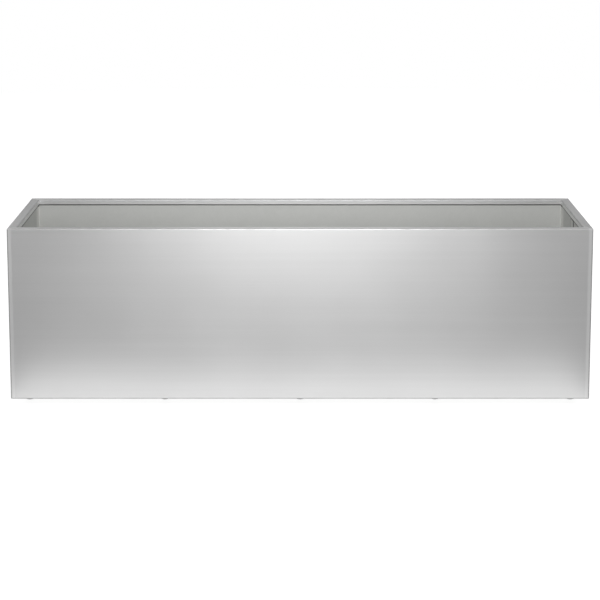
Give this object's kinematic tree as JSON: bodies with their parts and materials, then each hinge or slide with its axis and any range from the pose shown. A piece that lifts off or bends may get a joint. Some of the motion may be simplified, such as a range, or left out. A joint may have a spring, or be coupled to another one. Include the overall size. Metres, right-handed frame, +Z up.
{
  "type": "planter",
  "caption": "Long rectangular steel planter with a plain brushed outer skin, a folded rim, an inner liner with drain holes, tie bars and screw-in feet.",
  "frame": {"origin": "on the ground, below the middle of the planter", "axes": "+X along the length to the right as the front is seen, +Y from the front to the back, +Z up"},
  "size_m": [1.5, 0.45, 0.46],
  "materials": {
    "brushed_galvanized_sheet": "satin, fine brushed",
    "plain_galvanized_sheet": "matt zinc",
    "zinc_plated_steel": "bright zinc plate",
    "foot_nylon": "matt black nylon"
  },
  "bodies": {
    "shell": {"back_panel": "brushed_galvanized_sheet", "base_rail_1": "plain_galvanized_sheet", "base_rail_2": "plain_galvanized_sheet", "base_rail_3": "plain_galvanized_sheet", "base_rail_4": "plain_galvanized_sheet", "base_rail_5": "plain_galvanized_sheet", "corner_angle_back_left": "plain_galvanized_sheet", "corner_angle_back_right": "plain_galvanized_sheet", "corner_angle_front_left": "plain_galvanized_sheet", "corner_angle_front_right": "plain_galvanized_sheet", "foot_weld_nuts": "zinc_plated_steel", "front_panel": "brushed_galvanized_sheet", "left_end_panel": "brushed_galvanized_sheet", "liner_band": "plain_galvanized_sheet", "liner_floor": "plain_galvanized_sheet", "liner_joint_strap": "plain_galvanized_sheet", "right_end_panel": "brushed_galvanized_sheet", "strap_rivets": "zinc_plated_steel", "tie_bar_left": "plain_galvanized_sheet", "tie_bar_right": "plain_galvanized_sheet", "tie_bolts": "zinc_plated_steel", "tie_washers": "zinc_plated_steel", "tie_weld_nuts": "zinc_plated_steel", "wall_stiffener_back_left": "plain_galvanized_sheet", "wall_stiffener_back_right": "plain_galvanized_sheet", "wall_stiffener_front_left": "plain_galvanized_sheet", "wall_stiffener_front_right": "plain_galvanized_sheet"},
    "front_foot_pad_1": {"front_foot_pad_1": "foot_nylon"},
    "front_foot_stud_1": {"front_foot_stud_1": "zinc_plated_steel"},
    "front_foot_pad_2": {"front_foot_pad_2": "foot_nylon"},
    "front_foot_stud_2": {"front_foot_stud_2": "zinc_plated_steel"},
    "front_foot_pad_3": {"front_foot_pad_3": "foot_nylon"},
    "front_foot_stud_3": {"front_foot_stud_3": "zinc_plated_steel"},
    "front_foot_pad_4": {"front_foot_pad_4": "foot_nylon"},
    "front_foot_stud_4": {"front_foot_stud_4": "zinc_plated_steel"},
    "front_foot_pad_5": {"front_foot_pad_5": "foot_nylon"},
    "front_foot_stud_5": {"front_foot_stud_5": "zinc_plated_steel"},
    "back_foot_pad_1": {"back_foot_pad_1": "foot_nylon"},
    "back_foot_stud_1": {"back_foot_stud_1": "zinc_plated_steel"},
    "back_foot_pad_2": {"back_foot_pad_2": "foot_nylon"},
    "back_foot_stud_2": {"back_foot_stud_2": "zinc_plated_steel"},
    "back_foot_pad_3": {"back_foot_pad_3": "foot_nylon"},
    "back_foot_stud_3": {"back_foot_stud_3": "zinc_plated_steel"},
    "back_foot_pad_4": {"back_foot_pad_4": "foot_nylon"},
    "back_foot_stud_4": {"back_foot_stud_4": "zinc_plated_steel"},
    "back_foot_pad_5": {"back_foot_pad_5": "foot_nylon"},
    "back_foot_stud_5": {"back_foot_stud_5": "zinc_plated_steel"}
  },
  "joints": [
    {"name": "front_foot_1_travel", "type": "slide", "parent": "shell", "child": "front_foot_pad_1", "axis": [0, 0, -1], "range_m": [0, 0.012]},
    {"name": "front_foot_1_turn", "type": "hinge", "parent": "front_foot_pad_1", "child": "front_foot_stud_1", "pos_m": [-0.706, -0.181, 0.02], "axis": [0, 0, -1], "range_deg": [0, 3456]},
    {"name": "front_foot_2_travel", "type": "slide", "parent": "shell", "child": "front_foot_pad_2", "axis": [0, 0, -1], "range_m": [0, 0.012]},
    {"name": "front_foot_2_turn", "type": "hinge", "parent": "front_foot_pad_2", "child": "front_foot_stud_2", "pos_m": [-0.353, -0.181, 0.02], "axis": [0, 0, -1], "range_deg": [0, 3456]},
    {"name": "front_foot_3_travel", "type": "slide", "parent": "shell", "child": "front_foot_pad_3", "axis": [0, 0, -1], "range_m": [0, 0.012]},
    {"name": "front_foot_3_turn", "type": "hinge", "parent": "front_foot_pad_3", "child": "front_foot_stud_3", "pos_m": [0, -0.181, 0.02], "axis": [0, 0, -1], "range_deg": [0, 3456]},
    {"name": "front_foot_4_travel", "type": "slide", "parent": "shell", "child": "front_foot_pad_4", "axis": [0, 0, -1], "range_m": [0, 0.012]},
    {"name": "front_foot_4_turn", "type": "hinge", "parent": "front_foot_pad_4", "child": "front_foot_stud_4", "pos_m": [0.353, -0.181, 0.02], "axis": [0, 0, -1], "range_deg": [0, 3456]},
    {"name": "front_foot_5_travel", "type": "slide", "parent": "shell", "child": "front_foot_pad_5", "axis": [0, 0, -1], "range_m": [0, 0.012]},
    {"name": "front_foot_5_turn", "type": "hinge", "parent": "front_foot_pad_5", "child": "front_foot_stud_5", "pos_m": [0.706, -0.181, 0.02], "axis": [0, 0, -1], "range_deg": [0, 3456]},
    {"name": "back_foot_1_travel", "type": "slide", "parent": "shell", "child": "back_foot_pad_1", "axis": [0, 0, -1], "range_m": [0, 0.012]},
    {"name": "back_foot_1_turn", "type": "hinge", "parent": "back_foot_pad_1", "child": "back_foot_stud_1", "pos_m": [-0.706, 0.181, 0.02], "axis": [0, 0, -1], "range_deg": [0, 3456]},
    {"name": "back_foot_2_travel", "type": "slide", "parent": "shell", "child": "back_foot_pad_2", "axis": [0, 0, -1], "range_m": [0, 0.012]},
    {"name": "back_foot_2_turn", "type": "hinge", "parent": "back_foot_pad_2", "child": "back_foot_stud_2", "pos_m": [-0.353, 0.181, 0.02], "axis": [0, 0, -1], "range_deg": [0, 3456]},
    {"name": "back_foot_3_travel", "type": "slide", "parent": "shell", "child": "back_foot_pad_3", "axis": [0, 0, -1], "range_m": [0, 0.012]},
    {"name": "back_foot_3_turn", "type": "hinge", "parent": "back_foot_pad_3", "child": "back_foot_stud_3", "pos_m": [0, 0.181, 0.02], "axis": [0, 0, -1], "range_deg": [0, 3456]},
    {"name": "back_foot_4_travel", "type": "slide", "parent": "shell", "child": "back_foot_pad_4", "axis": [0, 0, -1], "range_m": [0, 0.012]},
    {"name": "back_foot_4_turn", "type": "hinge", "parent": "back_foot_pad_4", "child": "back_foot_stud_4", "pos_m": [0.353, 0.181, 0.02], "axis": [0, 0, -1], "range_deg": [0, 3456]},
    {"name": "back_foot_5_travel", "type": "slide", "parent": "shell", "child": "back_foot_pad_5", "axis": [0, 0, -1], "range_m": [0, 0.012]},
    {"name": "back_foot_5_turn", "type": "hinge", "parent": "back_foot_pad_5", "child": "back_foot_stud_5", "pos_m": [0.706, 0.181, 0.02], "axis": [0, 0, -1], "range_deg": [0, 3456]}
  ],
  "couplings": [
    {"joint": "front_foot_1_turn", "follows": "front_foot_1_travel", "rad_per_m": 5026.5},
    {"joint": "front_foot_2_turn", "follows": "front_foot_2_travel", "rad_per_m": 5026.5},
    {"joint": "front_foot_3_turn", "follows": "front_foot_3_travel", "rad_per_m": 5026.5},
    {"joint": "front_foot_4_turn", "follows": "front_foot_4_travel", "rad_per_m": 5026.5},
    {"joint": "front_foot_5_turn", "follows": "front_foot_5_travel", "rad_per_m": 5026.5},
    {"joint": "back_foot_1_turn", "follows": "back_foot_1_travel", "rad_per_m": 5026.5},
    {"joint": "back_foot_2_turn", "follows": "back_foot_2_travel", "rad_per_m": 5026.5},
    {"joint": "back_foot_3_turn", "follows": "back_foot_3_travel", "rad_per_m": 5026.5},
    {"joint": "back_foot_4_turn", "follows": "back_foot_4_travel", "rad_per_m": 5026.5},
    {"joint": "back_foot_5_turn", "follows": "back_foot_5_travel", "rad_per_m": 5026.5}
  ]
}
